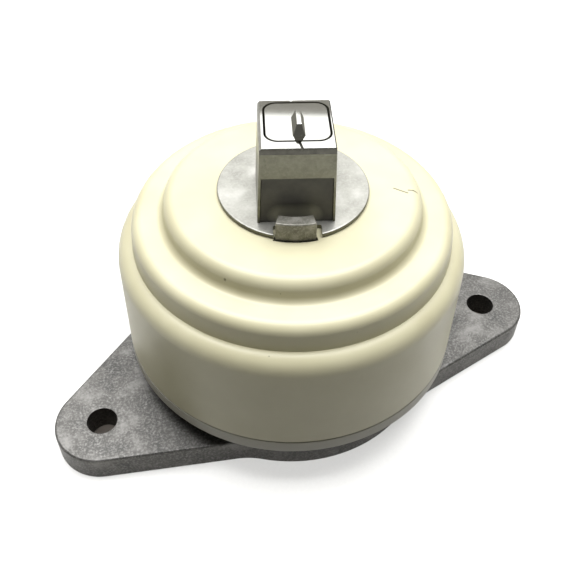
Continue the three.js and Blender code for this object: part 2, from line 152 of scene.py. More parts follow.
def toObject(bm, name):
    mesh = bpy.data.meshes.new(name)
    bm.to_mesh(mesh)
    bm.free()
    piece = bpy.data.objects.new(name, mesh)
    bpy.context.scene.collection.objects.link(piece)
    return piece


def joinSolids(bm, *others):
    # others: (operation, bmesh) pairs, worked one after the other
    piece = toObject(bm, "work")
    for operation, other in others:
        tool = toObject(other, "tool")
        step = piece.modifiers.new("step", "BOOLEAN")
        step.operation = operation
        step.solver = "EXACT"
        step.object = tool
        made = bpy.data.meshes.new_from_object(
            piece.evaluated_get(bpy.context.evaluated_depsgraph_get()))
        piece.modifiers.clear()
        piece.data = made
        bpy.data.objects.remove(tool)
    result = bmesh.new()
    result.from_mesh(piece.data)
    bpy.data.objects.remove(piece)
    bmesh.ops.remove_doubles(result, verts=result.verts[:], dist=2e-6)
    bmesh.ops.dissolve_degenerate(result, edges=result.edges[:], dist=1e-6)
    return result


def shadeSmooth(bm):
    for face in bm.faces:
        face.smooth = True
    for edge in bm.edges:
        edge.smooth = len(edge.link_faces) == 2 and edge.calc_face_angle(0) < creaseAngle


def finishPiece(bm, name, material, node, body, turned=False, patch=None):
    # a turned piece is modelled in the head's own direction;
    # patch: a second material and the test that picks its faces
    bm.normal_update()
    if patch:
        for face in bm.faces:
            face.material_index = int(patch[1](face))
    if turned:
        bmesh.ops.transform(bm, matrix=headSpin, verts=bm.verts[:])
    bm.normal_update()
    shadeSmooth(bm)
    piece = toObject(bm, name)
    piece.data.materials.append(material)
    if patch:
        piece.data.materials.append(patch[0])
    weighted = piece.modifiers.new("even shading", "WEIGHTED_NORMAL")
    weighted.keep_sharp = True
    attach(piece, body)
    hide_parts(node)
    return piece


# material helpers
def linear(hexColor):
    channels = [int(hexColor[i:i + 2], 16) / 255 for i in (0, 2, 4)]
    return [c / 12.92 if c <= 0.04045 else ((c + 0.055) / 1.055) ** 2.4 for c in channels] + [1]


def addNode(tree, kind, inputs=None, links=None, stops=None, **settings):
    made = tree.nodes.new(kind)
    for key, value in settings.items():
        setattr(made, key, value)
    for key, value in (inputs or {}).items():
        made.inputs[key].default_value = value
    for key, (source, output) in (links or {}).items():
        tree.links.new(source.outputs[output], made.inputs[key])
    if stops:
        ramp = made.color_ramp
        while len(ramp.elements) < len(stops):
            ramp.elements.new(0.5)
        for element, (position, color) in zip(ramp.elements, stops):
            element.position = position
            element.color = linear(color) if isinstance(color, str) else [color] * 3 + [1]
    return made


def newMaterial(name):
    material = bpy.data.materials.new(name)
    material.use_nodes = True
    tree = material.node_tree
    tree.nodes.clear()
    shader = addNode(tree, "ShaderNodeBsdfPrincipled")
    addNode(tree, "ShaderNodeOutputMaterial", links={"Surface": (shader, "BSDF")})
    place = addNode(tree, "ShaderNodeTexCoord")
    return material, tree, shader, place


def grain(tree, place, size, detail=3, roughness=0.6, distortion=0):
    # noise whose features are about size millimetres across
    return addNode(tree, "ShaderNodeTexNoise", links={"Vector": (place, "Object")},
                   inputs={"Scale": 1 / (size * mm), "Detail": detail, "Roughness": roughness,
                           "Distortion": distortion})


def mixColors(tree, factor, first, second, blend="MIX"):
    # first and second are hex colours or (node, output) pairs; gives such a pair
    made = addNode(tree, "ShaderNodeMix", data_type="RGBA", blend_type=blend)
    factorOut, name = factor
    tree.links.new(factorOut.outputs[name], made.inputs[0])
    for socket, value in ((6, first), (7, second)):
        if isinstance(value, str):
            made.inputs[socket].default_value = linear(value)
        else:
            tree.links.new(value[0].outputs[value[1]], made.inputs[socket])
    return made, 2


def connect(tree, source, output, target, name):
    tree.links.new(source.outputs[output], target.inputs[name])


def bumpFrom(tree, source, output, depth, strength=1, after=None):
    # depth in millimetres
    made = addNode(tree, "ShaderNodeBump", inputs={"Strength": strength, "Distance": depth * mm},
                   links={"Height": (source, output)})
    if after:
        connect(tree, after, "Normal", made, "Normal")
    return made


# materials
milledFace = {"above": 111.62, "rubSize": 3, "dark": "c9cac6", "bright": "cfd0cc", "roughness": 0.045}


def dieCastMetal(name, dark, middle, bright, values, millAbove=None):
    # die-cast aluminium, shot blasted: grey, clouded, with a bright sparkle on every small peak;
    # faces above the height millAbove are milled bright, and upright faces are multiplied by the skin colour,
    # which is painted shade
    material, tree, shader, place = newMaterial(name)
    cloud = grain(tree, place, values["cloudSize"], detail=4)
    peaks = grain(tree, place, values["grainSize"], detail=4, roughness=0.7)
    fine = grain(tree, place, values["fineSize"], detail=2)
    pits = grain(tree, place, values["pitSize"], detail=2, roughness=0.5)
    tone = addNode(tree, "ShaderNodeValToRGB", links={"Fac": (cloud, "Fac")},
                   stops=[(0.3, dark), (0.52, middle), (0.72, bright)])
    sparkle = addNode(tree, "ShaderNodeValToRGB", links={"Fac": (peaks, "Fac")},
                      stops=[(0.46, 0.0), (0.72, values["sparkle"])])
    color, out = mixColors(tree, (sparkle, "Color"), (tone, "Color"), bright)
    pitMask = addNode(tree, "ShaderNodeValToRGB", links={"Fac": (pits, "Fac")},
                      stops=[(0.68, 0.0), (0.76, 0.6)])
    color, out = mixColors(tree, (pitMask, "Color"), (color, out), dark)
    rough = addNode(tree, "ShaderNodeMapRange", links={"Value": (peaks, "Fac")},
                    inputs={"From Min": 0.3, "From Max": 0.7, "To Min": values["roughness"] + 0.08,
                            "To Max": values["roughness"] - 0.08})
    coarse = bumpFrom(tree, peaks, "Fac", values["bumpDepth"], 0.7)
    small = bumpFrom(tree, fine, "Fac", values["bumpDepth"] / 2, 0.6, after=coarse)
    shader.inputs["Metallic"].default_value = values["metallic"]
    # the skin colour darkens faces that stand upright: painted shade
    if "skin" in values:
        facing = addNode(tree, "ShaderNodeSeparateXYZ", links={"Vector": (place, "Normal")})
        side = addNode(tree, "ShaderNodeMapRange", links={"Value": (facing, "Z")},
                       inputs={"From Min": 0.3, "From Max": 0.7, "To Min": 1, "To Max": 0})
        color, out = mixColors(tree, (side, "Result"), (color, out), values["skin"], "MULTIPLY")
    if millAbove:
        axes = addNode(tree, "ShaderNodeSeparateXYZ", links={"Vector": (place, "Object")})
        milled = addNode(tree, "ShaderNodeMath", operation="GREATER_THAN", inputs={1: millAbove * mm},
                         links={0: (axes, "Z")})
        rub = grain(tree, place, milledFace["rubSize"], detail=5)
        brightFace = addNode(tree, "ShaderNodeValToRGB", links={"Fac": (rub, "Fac")},
                             stops=[(0.3, milledFace["dark"]), (0.7, milledFace["bright"])])
        color, out = mixColors(tree, (milled, "Value"), (color, out), (brightFace, "Color"))
        rough = addNode(tree, "ShaderNodeMix", links={0: (milled, "Value"), 2: (rough, "Result")},
                        inputs={3: milledFace["roughness"]})
        for bump in (coarse, small):
            calm = addNode(tree, "ShaderNodeMapRange", links={"Value": (milled, "Value")},
                           inputs={"To Min": 0.65, "To Max": 0})
            connect(tree, calm, "Result", bump, "Strength")
        metal = addNode(tree, "ShaderNodeMapRange", links={"Value": (milled, "Value")},
                        inputs={"To Min": values["metallic"], "To Max": 1})
        connect(tree, metal, "Result", shader, "Metallic")
    connect(tree, color, out, shader, "Base Color")
    connect(tree, rough, 0, shader, "Roughness")
    connect(tree, small, "Normal", shader, "Normal")
    return material


plasticSkin = {"cloudSize": 34, "speckSpacing": 9, "speckColor": "6f6a55", "scuffSize": 5, "waveSize": 12,
               "waveDepth": 0.12, "skinSize": 0.5, "skinDepth": 0.012}


def mouldedPlastic(name, dark, middle, bright, roughness, marks=None):
    # injection-moulded plastic with a satin skin: even colour, faint flow clouds, stray dirt specks
    material, tree, shader, place = newMaterial(name)
    cloud = grain(tree, place, plasticSkin["cloudSize"], detail=3)
    tone = addNode(tree, "ShaderNodeValToRGB", links={"Fac": (cloud, "Fac")},
                   stops=[(0.3, dark), (0.5, middle), (0.7, bright)])
    specks = addNode(tree, "ShaderNodeTexVoronoi", links={"Vector": (place, "Object")},
                     inputs={"Scale": 1 / (plasticSkin["speckSpacing"] * mm), "Randomness": 1})
    speckMask = addNode(tree, "ShaderNodeValToRGB", links={"Fac": (specks, "Distance")},
                        stops=[(0.022, 0.75), (0.04, 0.0)])
    chance = addNode(tree, "ShaderNodeSeparateColor", links={"Color": (specks, "Color")})
    rare = addNode(tree, "ShaderNodeMath", operation="GREATER_THAN", inputs={1: 0.8},
                   links={0: (chance, "Red")})
    shown = addNode(tree, "ShaderNodeMath", operation="MULTIPLY",
                    links={0: (speckMask, "Color"), 1: (rare, "Value")})
    dirty, out = mixColors(tree, (shown, "Value"), (tone, "Color"), plasticSkin["speckColor"])
    scuffs = grain(tree, place, plasticSkin["scuffSize"], detail=8, roughness=0.75, distortion=1.2)
    scuffMask = addNode(tree, "ShaderNodeValToRGB", links={"Fac": (scuffs, "Fac")},
                        stops=[(0.66, 0.0), (0.8, 0.35)])
    worn, out = mixColors(tree, (scuffMask, "Color"), (dirty, out), dark)
    if marks:
        worn, out = marks(tree, place, worn, out)
    connect(tree, worn, out, shader, "Base Color")
    rough = addNode(tree, "ShaderNodeMapRange", links={"Value": (cloud, "Fac")},
                    inputs={"From Min": 0.3, "From Max": 0.7, "To Min": roughness - 0.05,
                            "To Max": roughness + 0.06})
    connect(tree, rough, "Result", shader, "Roughness")
    shader.inputs["IOR"].default_value = 1.5
    skin = grain(tree, place, plasticSkin["skinSize"], detail=2)
    waves = grain(tree, place, plasticSkin["waveSize"], detail=2)
    soft = bumpFrom(tree, waves, "Fac", plasticSkin["waveDepth"], 0.5)
    crisp = bumpFrom(tree, skin, "Fac", plasticSkin["skinDepth"], 0.5, after=soft)
    connect(tree, crisp, "Normal", shader, "Normal")
    return material


def streak(tree, place, start, end, width):
    # strong inside a thin line from start to end: millimetres, in the head's own direction
    first, last = (headSpin @ point(*p) for p in (start, end))
    away = addNode(tree, "ShaderNodeVectorMath", operation="SUBTRACT", inputs={1: first},
                   links={0: (place, "Object")})
    along = (last - first).normalized()
    reach = addNode(tree, "ShaderNodeVectorMath", operation="DOT_PRODUCT", inputs={1: along},
                    links={0: (away, 0)})
    held = addNode(tree, "ShaderNodeClamp", inputs={"Max": (last - first).length},
                   links={"Value": (reach, "Value")})
    nearest = addNode(tree, "ShaderNodeVectorMath", operation="SCALE", inputs={0: along},
                      links={"Scale": (held, 0)})
    gap = addNode(tree, "ShaderNodeVectorMath", operation="DISTANCE", links={0: (away, 0), 1: (nearest, 0)})
    return addNode(tree, "ShaderNodeMapRange", links={"Value": (gap, "Value")},
                   inputs={"From Min": width * 0.4 * mm, "From Max": width * mm, "To Min": 0.85, "To Max": 0})


wear = {
    "scratchColor": "5a5644", "scratches": [
        ((33.4, -0.5, 82.65), (37.6, -2.9, 82.6), 0.4), ((38.1, -1.5, 82.6), (39.7, -1.6, 82.55), 0.4),
        ((39.7, -1.6, 82.55), (41.3, -2.4, 82.1), 0.45), ((-22.3, -36.7, 78.9), (-22.2, -36.5, 78.4), 0.6),
        ((-31.7, -37.2, 71.4), (-31.6, -37.2, 70.8), 0.5), ((-34.9, -41.6, 67), (-34.8, -41.6, 62.5), 0.3),
        ((-35.6, -41.0, 66.4), (-35.5, -41.0, 64), 0.3),
    ],
    "scuffPlace": (-31, -29, 77), "scuffRun": (3, -3, 0), "scuffReach": 6, "scuffGrain": 0.7,
    "scuffColor": "8d8a72",
}


def creamMarks(tree, place, color, out):
    # hair-thin scratches on the top, dirt spots and a scuffed place on the middle step
    for start, end, width in wear["scratches"]:
        color, out = mixColors(tree, (streak(tree, place, start, end, width), "Result"), (color, out),
                               wear["scratchColor"])
    spot = Vector(wear["scuffPlace"])
    area = streak(tree, place, spot, spot + Vector(wear["scuffRun"]), wear["scuffReach"])
    rub = grain(tree, place, wear["scuffGrain"], detail=4, roughness=0.8, distortion=2)
    torn = addNode(tree, "ShaderNodeValToRGB", links={"Fac": (rub, "Fac")}, stops=[(0.6, 0.0), (0.66, 0.7)])
    both = addNode(tree, "ShaderNodeMath", operation="MULTIPLY",
                   links={0: (area, "Result"), 1: (torn, "Color")})
    return mixColors(tree, (both, "Value"), (color, out), wear["scuffColor"])


def blackRubber(name, color="2b2a27", roughness=0.62, paintedReflection=None):
    # moulded natural rubber: near black, with a grey bloom and a fine skin;
    # the last argument: start, end and reach of a place painted a lighter grey, a painted reflection
    material, tree, shader, place = newMaterial(name)
    bloom = grain(tree, place, 7, detail=5)
    tone = addNode(tree, "ShaderNodeValToRGB", links={"Fac": (bloom, "Fac")},
                   stops=[(0.3, color), (0.75, "3f3d39")])
    shown = tone, "Color"
    if paintedReflection:
        # a lighter grey along a line: painted reflection
        shown = mixColors(tree, (streak(tree, place, *paintedReflection), "Result"), shown, "9b9a8c")
    connect(tree, *shown, shader, "Base Color")
    rough = addNode(tree, "ShaderNodeMapRange", links={"Value": (bloom, "Fac")},
                    inputs={"From Min": 0.3, "From Max": 0.7, "To Min": roughness - 0.08,
                            "To Max": roughness + 0.1})
    connect(tree, rough, "Result", shader, "Roughness")
    skin = grain(tree, place, 0.6, detail=3)
    connect(tree, bumpFrom(tree, skin, "Fac", 0.03, 0.6), "Normal", shader, "Normal")
    return material


def zincPlate(name):
    # zinc-plated steel: pale blue-grey, satin, slightly cloudy
    material, tree, shader, place = newMaterial(name)
    cloud = grain(tree, place, 9, detail=5)
    tone = addNode(tree, "ShaderNodeValToRGB", links={"Fac": (cloud, "Fac")},
                   stops=[(0.3, "a9acad"), (0.7, "c6c8c6")])
    connect(tree, tone, "Color", shader, "Base Color")
    rough = addNode(tree, "ShaderNodeMapRange", links={"Value": (cloud, "Fac")},
                    inputs={"From Min": 0.3, "From Max": 0.7, "To Min": 0.28, "To Max": 0.42})
    connect(tree, rough, "Result", shader, "Roughness")
    shader.inputs["Metallic"].default_value = 1
    fine = grain(tree, place, 0.8, detail=3)
    connect(tree, bumpFrom(tree, fine, "Fac", 0.01, 0.5), "Normal", shader, "Normal")
    return material


def shadedCutMetal(name):
    # cut aluminium with fine cutter lines, its colour painted dark: painted shade and a painted dark
    # reflection on the head's chamfers and in the scribed line
    material, tree, shader, place = newMaterial(name)
    darkCloud = grain(tree, place, 2.5, detail=4)
    tone = addNode(tree, "ShaderNodeValToRGB", links={"Fac": (darkCloud, "Fac")},
                   stops=[(0.3, "41403b"), (0.7, "53524c")])
    connect(tree, tone, "Color", shader, "Base Color")
    shader.inputs["Metallic"].default_value = 1
    rough = addNode(tree, "ShaderNodeMapRange", links={"Value": (darkCloud, "Fac")},
                    inputs={"From Min": 0.3, "From Max": 0.7, "To Min": 0.17, "To Max": 0.24})
    connect(tree, rough, "Result", shader, "Roughness")
    lines = grain(tree, place, 0.5, detail=2)
    connect(tree, bumpFrom(tree, lines, "Fac", 0.008, 0.4), "Normal", shader, "Normal")
    return material


padReflection = ((-5, -17, 87), (4, -17, 87), 4.5)  # start, end and reach of a lighter place low on the pad, a painted reflection of the lug
# skin: painted shade on the flange's upright faces
flangeMetal = dieCastMetal("shotBlastedDieCasting", "464645", "555452", "7a7977", {
    "cloudSize": 11, "grainSize": 0.8, "fineSize": 0.4, "pitSize": 1.5, "sparkle": 1, "roughness": 0.5,
    "bumpDepth": 0.05, "metallic": 0.75, "skin": "d6d4d0",
})
# skin: painted shade on the head's upright faces
headMetal = dieCastMetal("fineCastAluminium", "90908a", "a5a59f", "bcbcb7", {
    "cloudSize": 9, "grainSize": 0.9, "fineSize": 0.4, "pitSize": 1.4, "sparkle": 0.5, "roughness": 0.36,
    "bumpDepth": 0.025, "metallic": 0.7, "skin": "a9a898",
}, millAbove=milledFace["above"])
coreMetal = dieCastMetal("coarseCastAluminium", "5f5e57", "76756d", "9b9a93", {
    "cloudSize": 5, "grainSize": 0.8, "fineSize": 0.4, "pitSize": 1.2, "sparkle": 0.8, "roughness": 0.5,
    "bumpDepth": 0.05, "metallic": 0.6,
}, millAbove=milledFace["above"])
# the dark cut metal is painted shade for the head's chamfers and scribed line
shadedEdgeMetal = shadedCutMetal("shadedCutAluminium")
cream = mouldedPlastic("creamMouldedPlastic", "b6b194", "bcb89b", "c2bea3", 0.42, creamMarks)
ringPlastic = mouldedPlastic("greyMouldedPlastic", "908e82", "9a988c", "a4a297", 0.5)
rubber = blackRubber("mouldedBlackRubber")
padRubber = blackRubber("smoothBlackRubber", "4d4c42", 0.5, padReflection)
zinc = zincPlate("zincPlatedSteel")
nylon = mouldedPlastic("glassFilledNylon", "232325", "2b2c2e", "343537", 0.5)
print("materials made")


# flange and pot
flange = {
    "holeSpacing": 157, "holeRadius": 5.25, "earRadius": 16.7, "earOffset": 15.3, "body": 53.3,
    "frontInset": 4.67, "blend": 25, "thickness": levels["flangeTop"], "rimRound": 0.9, "holeChamfer": 0.45,
    "bore": 42, "potRadius": 50, "potBore": 46, "ledge": 14, "potOverlap": 3, "holeReach": 7,
    "boreReach": 4,
}


def arcFrom(bm, vert, centre, degrees, steps):
    # draws an arc of edges from vert around centre and gives its last corner
    spun = bmesh.ops.spin(bm, geom=[vert], cent=centre, axis=(0, 0, 1), angle=math.radians(degrees),
                          steps=steps, use_duplicate=False)
    return spun["geom_last"][0]


def onCircle(centre, radius, degrees):
    angle = math.radians(degrees)
    return centre + Vector((math.cos(angle), math.sin(angle), 0)) * radius * mm


def makeFlange(values):
    axis = Vector()
    ear = point(values["holeSpacing"] / 2, -values["earOffset"], 0)
    reach = ear.length / mm
    earAngle = math.degrees(math.atan2(ear.y, ear.x))
    body, earRadius, blend = values["body"], values["earRadius"], values["blend"]
    rearNormal = earAngle + math.degrees(math.acos((body - earRadius) / reach))
    edge = body - values["frontInset"]
    frontNormal = earAngle - math.degrees(math.acos((edge - earRadius) / reach))
    blendAngle = frontNormal + math.degrees(math.acos((edge + blend) / (body + blend)))
    blendCentre = onCircle(axis, body + blend, blendAngle)
    bm = bmesh.new()
    vert = bm.verts.new(onCircle(axis, body, -90))
    vert = arcFrom(bm, vert, axis, blendAngle + 90, 24)
    vert = arcFrom(bm, vert, blendCentre, frontNormal - blendAngle, 12)
    earStart = bm.verts.new(onCircle(ear, earRadius, frontNormal))
    bm.edges.new((vert, earStart))
    vert = arcFrom(bm, earStart, ear, rearNormal - frontNormal, 48)
    rearStart = bm.verts.new(onCircle(axis, body, rearNormal))
    bm.edges.new((vert, rearStart))
    arcFrom(bm, rearStart, axis, 90 - rearNormal, 24)
    bmesh.ops.mirror(bm, geom=bm.verts[:] + bm.edges[:], axis="X", merge_dist=1e-6)
    bmesh.ops.remove_doubles(bm, verts=bm.verts[:], dist=1e-6)
    for side in (-1, 1):
        bmesh.ops.create_circle(bm, cap_ends=False, segments=56, radius=values["holeRadius"] * mm,
                                matrix=Matrix.Translation((side * ear.x, ear.y, 0)))
    bmesh.ops.create_circle(bm, cap_ends=False, segments=112,
                            radius=(values["bore"] + values["potOverlap"]) * mm)
    bmesh.ops.triangle_fill(bm, use_beauty=True, use_dissolve=False, edges=bm.edges[:])
    grown = bmesh.ops.extrude_face_region(bm, geom=bm.faces[:], use_keep_orig=True)
    lifted = [g for g in grown["geom"] if isinstance(g, bmesh.types.BMVert)]
    bmesh.ops.translate(bm, verts=lifted, vec=point(0, 0, values["thickness"]))
    bmesh.ops.recalc_face_normals(bm, faces=bm.faces[:])

    def rim(e):
        # whether an edge is at a bolt hole, and whether it is at the bore
        middle = (e.verts[0].co + e.verts[1].co) / 2
        nearHole = min((middle.xy - Vector((s * ear.x, ear.y))).length for s in (-1, 1))
        boreEdge = (values["bore"] + values["boreReach"]) * mm
        return nearHole < values["holeReach"] * mm, middle.xy.length < boreEdge

    edges = sharpEdges(bm)
    holes = [e for e in edges if rim(e)[0]]
    outside = [e for e in edges if not any(rim(e))]
    bevelEdges(bm, outside, values["rimRound"], 4)
    bevelEdges(bm, [e for e in holes if e.is_valid], values["holeChamfer"], 2)
    pot = spunPiece([
        (values["bore"], 0, 0.4, 2), (values["potRadius"], 0), (values["potRadius"], levels["potTop"], 0.6),
        (values["potBore"], levels["potTop"], 0.4, 2), (values["potBore"], values["ledge"]),
        (values["bore"], values["ledge"]),
    ], 128)
    return joinSolids(bm, ("UNION", pot))


finishPiece(makeFlange(flange), "flangeCasting", flangeMetal, "base_housing", "base")
print("flange made")


# cover
cover = {
    "radius": 60, "draft": 0.7, "wall": 2.5, "lowerRise": 40.4, "lowerWidth": 5.3, "lowerLean": 0.8,
    "middleRise": 9.4, "middleWidth": 10.3, "middleLean": 1, "crown": 0.3, "discEdge": 26, "opening": 20.5,
    "jointGap": 0.25, "slotGap": 0.55, "slotOuter": 25.2, "slotLeft": -7.05, "slotRight": 5.95,
    "slotDepth": 6, "shoulderRound": 6.4, "stepRound": 3.6, "footRound": 2.1,
}


def coverOutline(values, inset):
    lowerZ = levels["coverLow"] + values["lowerRise"]
    middleZ = lowerZ + values["middleRise"]
    upperZ = levels["coverTop"] - values["crown"]
    lowerWall = values["radius"] - values["lowerWidth"]
    middleWall = lowerWall - values["lowerLean"]
    upperWall = middleWall - values["middleWidth"]
    corners = [
        (values["radius"] + values["draft"], levels["coverLow"] + values["jointGap"] + inset),
        (values["radius"], lowerZ, values["shoulderRound"], 12), (lowerWall, lowerZ, values["footRound"], 8),
        (middleWall, middleZ, values["stepRound"], 10), (upperWall, middleZ, values["footRound"], 8),
        (upperWall - values["middleLean"], upperZ, values["stepRound"], 10),
        (values["discEdge"], levels["coverTop"]), (values["opening"] + inset, levels["coverTop"]),
    ]
    return [(c[0] - inset, c[1] - inset, *c[2:]) for c in corners]


def sectorPiece(inner, outer, left, right, bottom, top):
    # a curved bar around the axis, facing -Y, between two widths measured at its outer face
    bm = bmesh.new()
    size = point(outer - inner, 0, top - bottom)
    bmesh.ops.create_grid(bm, x_segments=1, y_segments=1, size=0.5)
    bmesh.ops.rotate(bm, verts=bm.verts[:], matrix=Matrix.Rotation(math.pi / 2, 3, "X"))
    bmesh.ops.scale(bm, verts=bm.verts[:], vec=(size.x, 1, size.z))
    bmesh.ops.translate(bm, verts=bm.verts[:], vec=point((inner + outer) / 2, 0, (bottom + top) / 2))
    start, end = (math.asin(x / outer) - math.pi / 2 for x in (left, right))
    bmesh.ops.rotate(bm, verts=bm.verts[:], cent=(0, 0, 0), matrix=Matrix.Rotation(start, 3, "Z"))
    bmesh.ops.spin(bm, geom=bm.verts[:] + bm.edges[:] + bm.faces[:], cent=(0, 0, 0), axis=(0, 0, 1),
                   angle=end - start, steps=24, use_duplicate=False)
    bmesh.ops.remove_doubles(bm, verts=bm.verts[:], dist=1e-7)
    closeEnds(bm)
    bmesh.ops.recalc_face_normals(bm, faces=bm.faces[:])
    return bm


def closeEnds(bm):
    # drops the faces that a spin leaves inside, and fills its two ends
    inside = [f for f in bm.faces if any(len(e.link_faces) > 2 for e in f.edges)
              and all(len(e.link_faces) > 2 for e in f.edges)]
    if inside:
        bmesh.ops.delete(bm, geom=inside, context="FACES")
    openEdges = [e for e in bm.edges if len(e.link_faces) == 1]
    if openEdges:
        bmesh.ops.holes_fill(bm, edges=openEdges, sides=8)


def makeCover(values):
    inner = coverOutline(values, values["wall"])
    shell = spunPiece(coverOutline(values, 0) + inner[::-1], 192)
    gap = values["slotGap"]
    slot = sectorPiece(values["opening"] - overrun, values["slotOuter"] + gap, values["slotLeft"] - gap,
                       values["slotRight"] + gap, levels["coverTop"] - values["slotDepth"],
                       levels["coverTop"] + overrun)
    return joinSolids(shell, ("DIFFERENCE", slot))


finishPiece(makeCover(cover), "coverBell", cream, "cover", "sprung_head", turned=True)
print("cover made")


# cover ring
ring = {"outer": 60.8, "band": 57.9, "height": 5.4, "spigotWall": 1.6, "spigotHeight": 5.1,
        "lipInner": 51.75, "lipHeight": 2.5}


def makeRing(values):
    bottom = levels["ringLow"]
    top = bottom + values["height"]
    band, spigot = values["band"], values["band"] - values["spigotWall"]
    return spunPiece([
        (values["outer"], bottom, 0.7, 4), (values["outer"], top, 0.45, 3), (band, top),
        (band, top + values["spigotHeight"], 0.4, 2), (spigot, top + values["spigotHeight"], 0.4, 2),
        (spigot, top, 0.5, 3), (values["lipInner"], top, 0.5, 3),
        (values["lipInner"], top - values["lipHeight"], 0.5, 3), (band, top - values["lipHeight"], 0.5, 3),
        (band, bottom, 0.5, 3),
    ], 192)


finishPiece(makeRing(ring), "coverRing", ringPlastic, "cover_ring", "sprung_head")


# head: disc with its square sleeve
head = {
    "discRadius": 25, "discThickness": 1.3, "width": 22.6, "front": -16.95, "rear": 7.55, "cornerRound": 1.1,
    "topRound": 0.3, "leftChamfer": 0.7, "rightChamfer": 0.4, "chamferHeight": 1.9, "chamferDepth": 0.45,
    "draftSide": 0.9, "draftFront": 0.7, "sleeveSink": 0.3,
    "postFrontInset": 3.85, "postRearInset": 1.55, "postWidth": 19.1, "postShift": 0.35, "postRound": 3.6,
    "fit": 0.7, "notchLeft": -7.45, "notchRight": 7.75, "notchRear": -19.48, "notchRound": 0.8,
    "recessDepth": 1.7, "recessHeight": 16.85, "recessLip": 0.7, "recessRound": 0.3,
    "boltRadius": 7.8, "boltDepth": 4, "boltZ": 98.05,
    "scribeStart": (0.3, -12.7), "scribeEnd": (1.3, -17.6), "scribeWidth": 0.8, "scribeDepth": 0.5,
    "nick": (-0.9, 7.5), "nickRadius": 0.45, "nickDepth": 0.5,
}


def drafted(bm, values):
    # the sides and the front stand further out towards the disc
    bottom, top = levels["discLow"] + values["discThickness"], levels["headTop"]
    rear = values["rear"] * mm
    depth = values["rear"] - values["front"]
    for vert in bm.verts:
        below = (top * mm - vert.co.z) / ((top - bottom) * mm)
        vert.co.x *= 1 + below * values["draftSide"] * 2 / values["width"]
        vert.co.y = rear + (vert.co.y - rear) * (1 + below * values["draftFront"] / depth)
    return bm


def postBlock(values, clearance, bottom, top):
    half = values["postWidth"] / 2 + clearance
    bm = boxPiece(values["postShift"] - half, values["postShift"] + half,
                  values["front"] + values["postFrontInset"] - clearance,
                  values["rear"] - values["postRearInset"] + clearance, bottom, top)
    bevelEdges(bm, uprightEdges(bm), values["postRound"] + clearance, 10)
    return bm


def scribeTool(values):
    # the scribed line across the front of the sleeve's top
    start, end = (point(*values[k], levels["headTop"]) for k in ("scribeStart", "scribeEnd"))
    along = end - start
    bm = boxPiece(-values["scribeWidth"] / 2, values["scribeWidth"] / 2, 0, along.length / mm,
                  -values["scribeDepth"], 1)
    bmesh.ops.rotate(bm, verts=bm.verts[:], cent=(0, 0, 0),
                     matrix=Matrix.Rotation(math.atan2(-along.x, along.y), 3, "Z"))
    bmesh.ops.translate(bm, verts=bm.verts[:], vec=start)
    return bm


def makeHead(values):
    bottom, top = levels["discLow"], levels["headTop"]
    discTop = bottom + values["discThickness"]
    plate = spunPiece([(0, bottom), (values["discRadius"], bottom, 0.3, 2),
                       (values["discRadius"], discTop, 0.4, 3), (0, discTop)], 128)
    notch = boxPiece(values["notchLeft"], values["notchRight"], -values["discRadius"] - overrun,
                     values["notchRear"], bottom - overrun, discTop + overrun)
    bevelEdges(notch, uprightEdges(notch), values["notchRound"], 4)
    half = values["width"] / 2
    sleeve = boxPiece(-half, half, values["front"] - values["chamferDepth"], values["rear"],
                      bottom + values["sleeveSink"], top)
    frontTop = [v for v in sleeve.verts if v.co.z > (top - 1) * mm and v.co.y < 0]
    bmesh.ops.bisect_plane(sleeve, geom=sleeve.verts[:] + sleeve.edges[:] + sleeve.faces[:],
                           plane_co=point(0, 0, top - values["chamferHeight"]), plane_no=(0, 0, 1))
    for vert in frontTop:
        vert.co.y += values["chamferDepth"] * mm
    drafted(sleeve, values)
    topLevel = (top - 0.1) * mm
    for side, chamfer in ((-1, values["leftChamfer"]), (1, values["rightChamfer"])):
        sideRim = [e for e in sharpEdges(sleeve, 40)
                   if all(v.co.z > topLevel and side * v.co.x > (half - 0.5) * mm for v in e.verts)]
        bevelEdges(sleeve, sideRim, chamfer, 1)
    bevelEdges(sleeve, uprightEdges(sleeve), values["cornerRound"], 6)
    rims = [e for e in sharpEdges(sleeve, 40) if all(v.co.z > topLevel for v in e.verts)]
    bevelEdges(sleeve, rims, values["topRound"], 2)
    inside = postBlock(values, values["fit"], bottom - overrun, top + overrun)
    lip = half - values["recessLip"]
    recess = boxPiece(-lip, lip, values["front"] - overrun, values["front"] + values["recessDepth"], discTop,
                      discTop + values["recessHeight"])
    drafted(recess, values)
    bevelEdges(recess, recess.edges[:], values["recessRound"], 2)
    rearHole = cylinderPiece(values["boltRadius"],
                             point(0, values["rear"] - values["boltDepth"], values["boltZ"]),
                             point(0, values["rear"] + overrun, values["boltZ"]))
    nick = cylinderPiece(values["nickRadius"], point(*values["nick"], top - values["nickDepth"]),
                         point(*values["nick"], top + 1), 12)
    return joinSolids(plate, ("DIFFERENCE", notch), ("UNION", sleeve), ("DIFFERENCE", inside),
                      ("DIFFERENCE", recess), ("DIFFERENCE", rearHole), ("DIFFERENCE", scribeTool(values)),
                      ("DIFFERENCE", nick))


def getsPaintedShade(face):
    # the chamfers under the front and right edges, and the inside of the scribed line, which take the painted
    # shade
    middle = face.calc_center_median() / mm
    depth = levels["headTop"] - middle.z
    chamfer = 0.3 < depth < head["chamferHeight"] and middle.y < head["front"] + 1.2
    scribed = 0.1 < depth < head["scribeDepth"] + 0.05 and middle.y < head["scribeStart"][1] + 0.5
    rightEdge = depth < head["rightChamfer"] and 0.4 < face.normal.x < 0.9 and middle.x > 10
    return (chamfer and -0.985 < face.normal.y < -0.3) or (scribed and abs(middle.x) < 2) or rightEdge


# the second material paints shade on the chamfers and in the scribed line
finishPiece(makeHead(head), "headSleeve", headMetal, "head_block", "sprung_head", turned=True,
            patch=(shadedEdgeMetal, getsPaintedShade))


# rubber pad in the sleeve's front recess
pad = {"gap": 0.05, "proud": 0.1, "edgeRound": 0.25}


